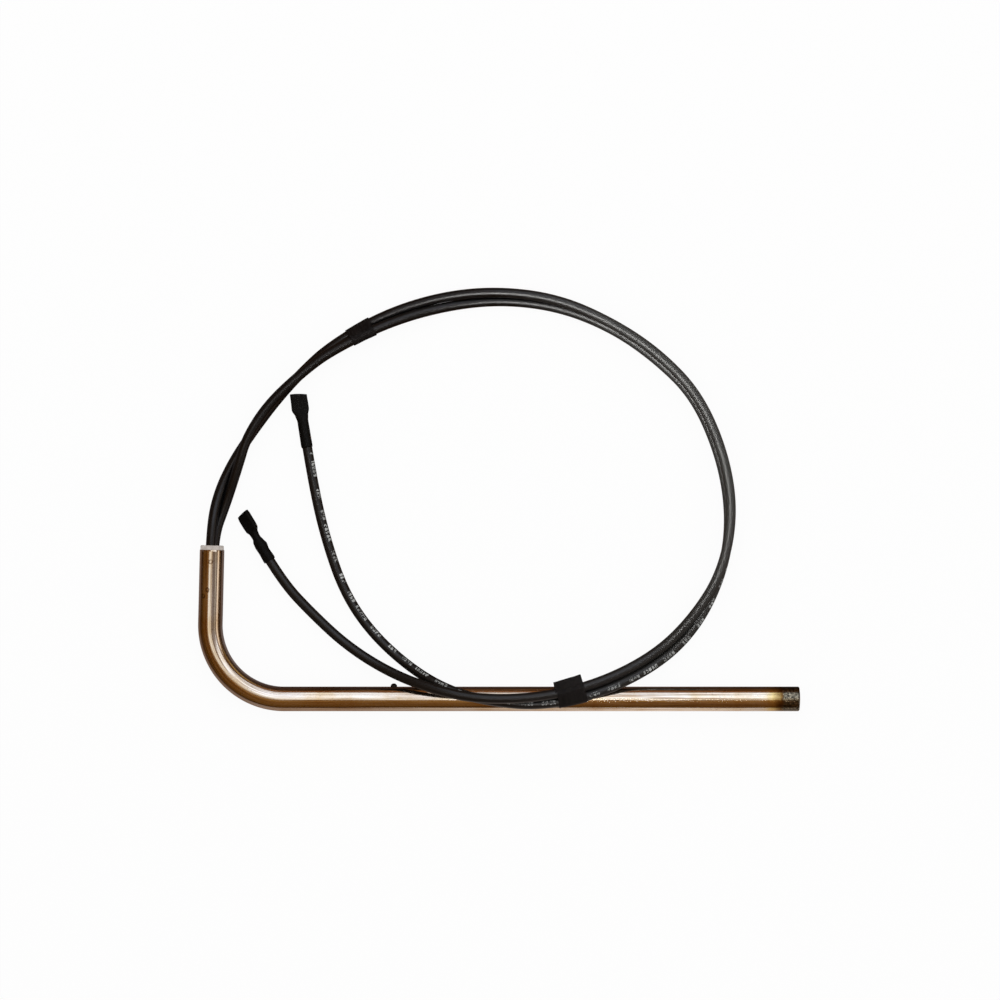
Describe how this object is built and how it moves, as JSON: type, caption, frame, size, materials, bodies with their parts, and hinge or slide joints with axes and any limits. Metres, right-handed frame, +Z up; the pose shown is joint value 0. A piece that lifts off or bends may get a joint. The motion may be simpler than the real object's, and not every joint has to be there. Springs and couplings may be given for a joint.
{
  "type": "heating element",
  "caption": "Bent single-ended tubular heater with a closed round tip, a sealed mouth and black insulated leads ending in sleeved push-on terminals.",
  "frame": {"origin": "under the middle of the outline of the heater itself, on the surface it lies on", "axes": "+X along the long leg to the closed tip, +Y towards the mouth of the short leg, +Z up"},
  "size_m": [0.2446, 0.1723, 0.0227],
  "materials": {
    "stainless": "heat-tinted",
    "silicone": "matte",
    "magnesia": "matte",
    "nickel_alloy": "drawn",
    "glass_fibre_sleeving": "woven",
    "lead_insulation": "satin",
    "tape": "matte",
    "tinned_brass": "tinned",
    "shrink_sleeve": "matte"
  },
  "bodies": {
    "root": {"sheath_tube": "stainless", "end_disc": "stainless", "stop_pip": "stainless", "end_seal": "silicone", "end_spacer": "magnesia", "magnesia_core_1": "magnesia", "magnesia_core_2": "magnesia", "magnesia_core_3": "magnesia", "magnesia_core_4": "magnesia", "magnesia_fill": "magnesia", "bend_fill": "magnesia", "end_bushing": "magnesia", "heating_coil": "nickel_alloy", "pin_a": "nickel_alloy", "pin_b": "nickel_alloy", "splice_barrel_a": "nickel_alloy", "splice_barrel_b": "nickel_alloy", "splice_sleeve_a": "glass_fibre_sleeving", "splice_sleeve_b": "glass_fibre_sleeving", "lead_a": "lead_insulation", "lead_b": "lead_insulation", "tape_wrap_upper": "tape", "tape_wrap_lower": "tape", "terminal_a": "tinned_brass", "terminal_b": "tinned_brass", "terminal_sleeve_a": "shrink_sleeve", "terminal_sleeve_b": "shrink_sleeve"}
  },
  "joints": []
}
